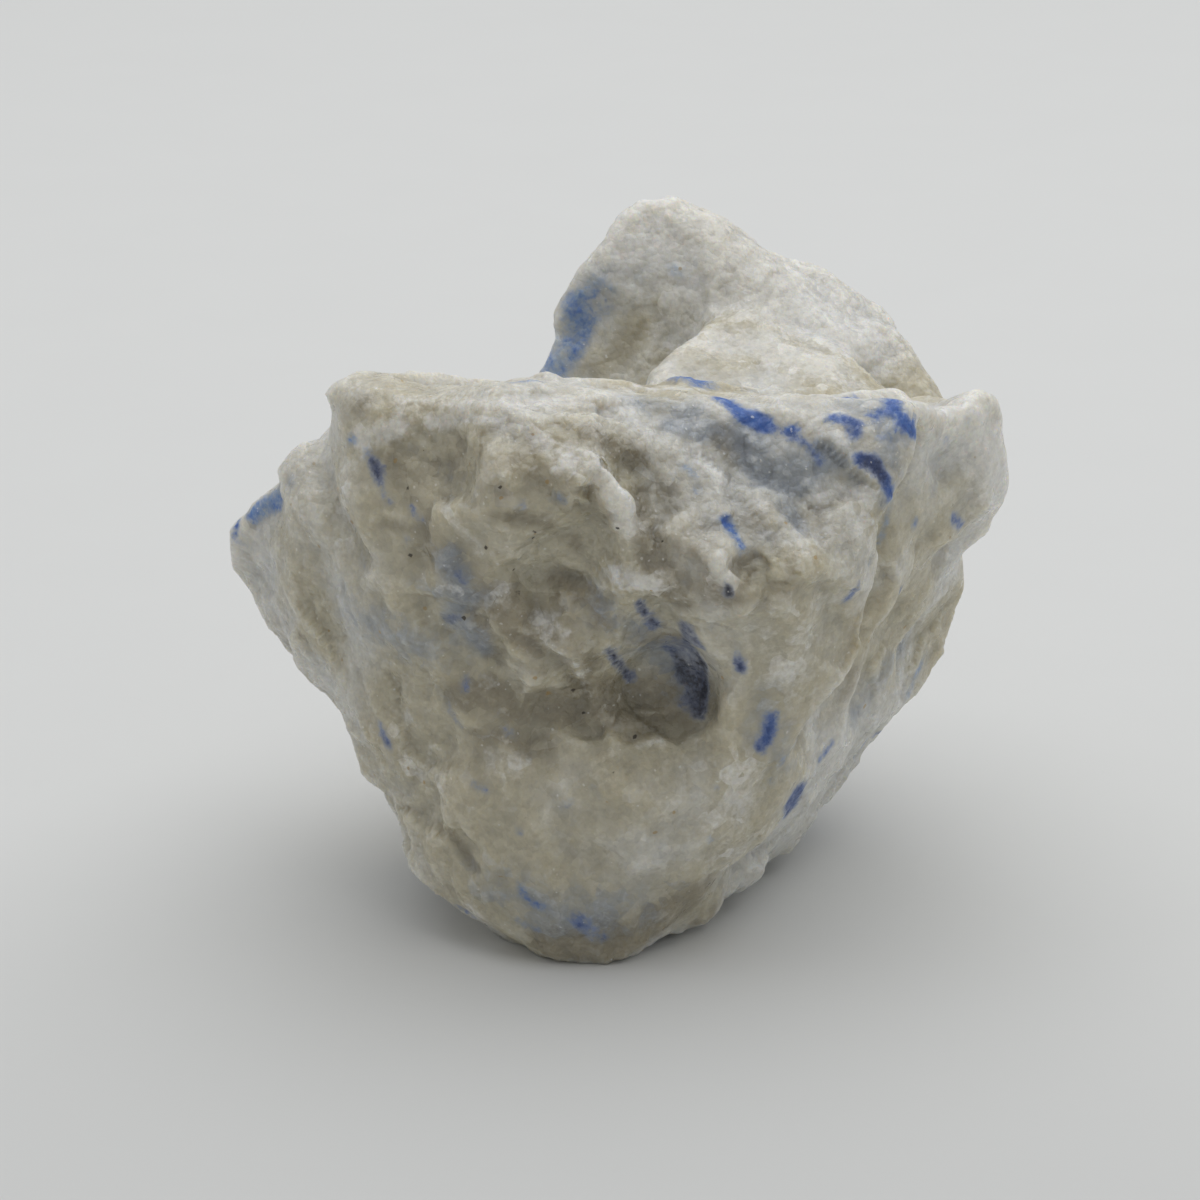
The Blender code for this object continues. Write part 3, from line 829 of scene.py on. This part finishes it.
def stoneFinish():
    finish = Finish("dumortierite in quartz")
    place = finish.millimetres()
    cloud = finish.clouds(place, quartz["cloud"])
    mottle = finish.clouds(place, quartz["mottle"], 0.6)
    sugar = finish.clouds(place, quartz["sugar"], 0.65)
    stirScale, stirAmount = quartz["stir"]
    stir = finish.node("TexNoise", None, {"Vector": place, "Scale": stirScale, "Detail": 0.0},
                       output="Color")
    stirred = finish.node("VectorMath", {"operation": "MULTIPLY_ADD"},
                          {0: stir, 1: (stirAmount,) * 3, 2: place})

    def laid(across, along):
        # places squeezed along the run of the fibres
        return finish.node("Mapping", {"vector_type": "TEXTURE"},
                           {"Vector": place, "Scale": (along / across, 1, 1),
                            "Rotation": (0, math.radians(dumortierite["slant"]), 0)})

    grain, (grainTone, grainPick, _) = finish.grains(stirred, quartz["grain"])
    crumb, (crumbTone, crumbPick, _) = finish.grains(stirred, quartz["crumb"])
    _, (flakeTone, _, _) = finish.grains(stirred, quartz["flake"])
    bands = finish.clouds(laid(*quartz["bands"]), quartz["bands"][0] * 1.6, 0.55)

    creamy = finish.smooth(finish.mark("warm") + 0.9 * (cloud - 0.5) + 0.3 * (mottle - 0.5)
                           + 0.15 * (flakeTone - 0.5), 0.0, 0.75)
    colour = finish.blend(creamy, quartz["white"], quartz["cream"])
    patchy = 0.35 * (crumbTone - 0.5) + 0.25 * (flakeTone - 0.5) + 0.5 * (sugar - 0.5)
    # painted shade together with clear quartz: the clear strokes, bands and patches turn the
    # quartz smoky brown, and in the hollow and recesses this brown is painted shade
    smokyAndShade = finish.smooth(finish.mark("clear") + 1.1 * (bands - 0.5) + patchy, 0.12, 0.80)
    colour = finish.blend(smokyAndShade * strongest["smokyAndShade"], colour, quartz["smokyAndShade"])
    haze = finish.smooth(finish.mark("haze") + 0.9 * (mottle - 0.5) + patchy, 0.15, 1.1)
    colour = finish.blend(haze * strongest["haze"], colour, quartz["hazeBlue"])
    # painted light together with milky quartz: the milk strokes whiten the quartz
    milkyAndLight = finish.smooth(finish.mark("milk") + patchy, 0.20, 0.80)
    colour = finish.blend(milkyAndLight * strongest["milkyAndLight"], colour, quartz["bruisedAndLit"])
    proud = finish.mark("proud")
    # partly bruised quartz and partly painted light: points standing proud of the stone are
    # whitened
    bruiseAndEdgeLight = finish.smooth(proud + 0.5 * (crumbTone - 0.5) + 0.6 * (sugar - 0.5), 0.66, 1.0)
    colour = finish.blend(bruiseAndEdgeLight * (0.26 - 0.12 * creamy), colour, quartz["bruisedAndLit"])
    # painted light and shade: points standing proud are lighter and points lying below the
    # stone around them darker, as in crevices; the grain and sugar terms are the quartz's own
    # tone
    tone = (0.82 + 0.12 * grainTone + 0.08 * crumbTone + 0.36 * (sugar - 0.5)
            + 0.12 * (proud - 0.5))
    toned = finish.node("CombineColor", None, {0: tone, 1: tone, 2: tone})
    colour = finish.blend(1.0, colour, toned, "MULTIPLY")

    # a rusty dot in the middle of a few crumbs
    scattered = finish.smooth(0.16 - crumb, 0.0, 0.05) * finish.smooth(crumbPick, 0.93, 0.94)
    colour = finish.blend(scattered * strongest["scattered"], colour, quartz["ochre"])

    # dumortierite: fibres with a dark core, which pale and fray to their edges
    fibre = finish.clouds(laid(*dumortierite["fibre"]), dumortierite["fibre"][0] * 1.8, 0.65)
    frayed = (0.35 * (fibre - 0.5) + 0.6 * (sugar - 0.5) + 0.8 * (mottle - 0.5)
              + 0.12 * (grainTone - 0.5))
    blue = finish.mark("blue")
    covered = finish.smooth(blue + frayed * finish.smooth(blue, 0.0, 0.3), 0.26, 1.05)
    core = finish.smooth(blue + frayed, 0.30, 1.0)
    depth = (finish.mark("dark") * (0.55 + 0.45 * core) + 0.4 * (sugar - 0.5)
             + 0.4 * (mottle - 0.5))
    ink = finish.node("ValToRGB", {"stops": [
        (0.0, dumortierite["pale"]), (0.36, dumortierite["royal"]),
        (0.68, dumortierite["deep"]), (1.0, dumortierite["navy"])]}, {"Fac": depth})
    washed = finish.smooth(blue + 0.3 * frayed, 0.10, 0.75)
    colour = finish.blend(washed * strongest["washed"], colour, quartz["hazeBlue"])
    colour = finish.blend(covered * strongest["ink"], colour, ink)

    # dark specks, rusty spots and painted sparkle: tiny white dots that stand in for glints
    # off crystal faces
    dark = finish.smooth(finish.mark("speck") + 0.4 * (sugar - 0.5), 0.35, 0.55)
    colour = finish.blend(dark * strongest["speck"], colour, quartz["speck"])
    rusty = finish.smooth(finish.mark("rust") + 0.4 * (sugar - 0.5), 0.30, 0.60)
    colour = finish.blend(rusty * strongest["rust"], colour, quartz["ochre"])
    crumbly = finish.mark("crumbly")
    faced = grainPick + 0.3 * (crumbly - 1) + 0.5 * (mottle - 0.5)
    paintedSparkle = (finish.smooth(0.18 + 0.35 * (sugar - 0.5) - grain, 0.0, 0.10)
             * finish.smooth(faced, 0.72, 0.80))
    colour = finish.blend(paintedSparkle * strongest["paintedSparkle"], colour, quartz["paintedSparkle"])

    glint = finish.smooth(grainTone, 0.86, 0.92)
    roughness = (quartz["roughness"] + 0.22 * (mottle - 0.5) - 0.22 * glint - 0.2 * paintedSparkle
                 + 0.12 * covered)
    height = ((0.6 * sugar + 0.6 * mottle - 0.8 * crumb - 0.7 * grain)
              * (0.35 + 0.65 * crumbly))
    bumped = finish.node("Bump", None, {
        "Strength": quartz["bump"], "Distance": quartz["bumpHeight"] * mm, "Height": height})
    return finish.surface({
        "Base Color": colour, "Roughness": roughness, "Normal": bumped,
        "Subsurface Weight": quartz["glow"], "Subsurface Scale": quartz["glowReach"] * mm,
        "Subsurface Radius": (1.0, 0.85, 0.6), "IOR": 1.54,
    })


# The table and the light

table = {
    "size": 1600.0,
    "grey": (0.715, 0.725, 0.72),
    "paper": (9.0, 1.02),                # size of its clouds, and how much paler they are
    "shade": (-60, 10, 0.90),            # it darkens to the front: from, to, least
    "roughness": 0.85,
}
light = {"place": (50, 100, 475), "size": 730.0, "power": 2.08, "sky": 0.392}


def addTable():
    half = table["size"] / 2 * mm
    mesh = bpy.data.meshes.new("table")
    mesh.from_pydata([(-half, -half, 0), (half, -half, 0), (half, half, 0), (-half, half, 0)],
                     [], [(0, 1, 2, 3)])
    floor = bpy.data.objects.new("table", mesh)
    bpy.context.scene.collection.objects.link(floor)
    finish = Finish("pale table")
    place = finish.millimetres()
    size, paler = table["paper"]
    paper = finish.clouds(place, size, detail=3)
    greyed = finish.blend(paper, table["grey"], [c * paler for c in table["grey"]])
    depth = finish.node("SeparateXYZ", None, {0: place}, output=1)
    front, back, least = table["shade"]
    lit = finish.smooth(depth, front, back)
    greyed = finish.blend(lit, [c * least for c in table["grey"]], greyed)
    mesh.materials.append(finish.surface({"Base Color": greyed,
                                          "Roughness": table["roughness"]}))


def addLight():
    softbox = bpy.data.lights.new("softbox", "AREA")
    softbox.size = light["size"] * mm
    softbox.energy = light["power"]
    lamp = bpy.data.objects.new("softbox", softbox)
    lamp.location = Vector(light["place"]) * mm
    aim = Vector(photo["aim"]) * mm - lamp.location
    lamp.rotation_euler = aim.to_track_quat("-Z", "Y").to_euler()
    bpy.context.scene.collection.objects.link(lamp)
    world = bpy.data.worlds.new("room")
    world.use_nodes = True
    sky = world.node_tree.nodes["Background"]
    sky.inputs["Color"].default_value = (1, 1, 1, 1)
    sky.inputs["Strength"].default_value = light["sky"]
    bpy.context.scene.world = world
    bpy.context.scene.view_settings.view_transform = "Standard"


addCamera()
addTable()
addLight()
print("camera, table and light are in")

stone = shapeStone()
paintMarks(stone)
stone.data.materials.clear()
stone.data.materials.append(stoneFinish())
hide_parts("stone")
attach(stone, "root")
print("stone: shaped and finished")
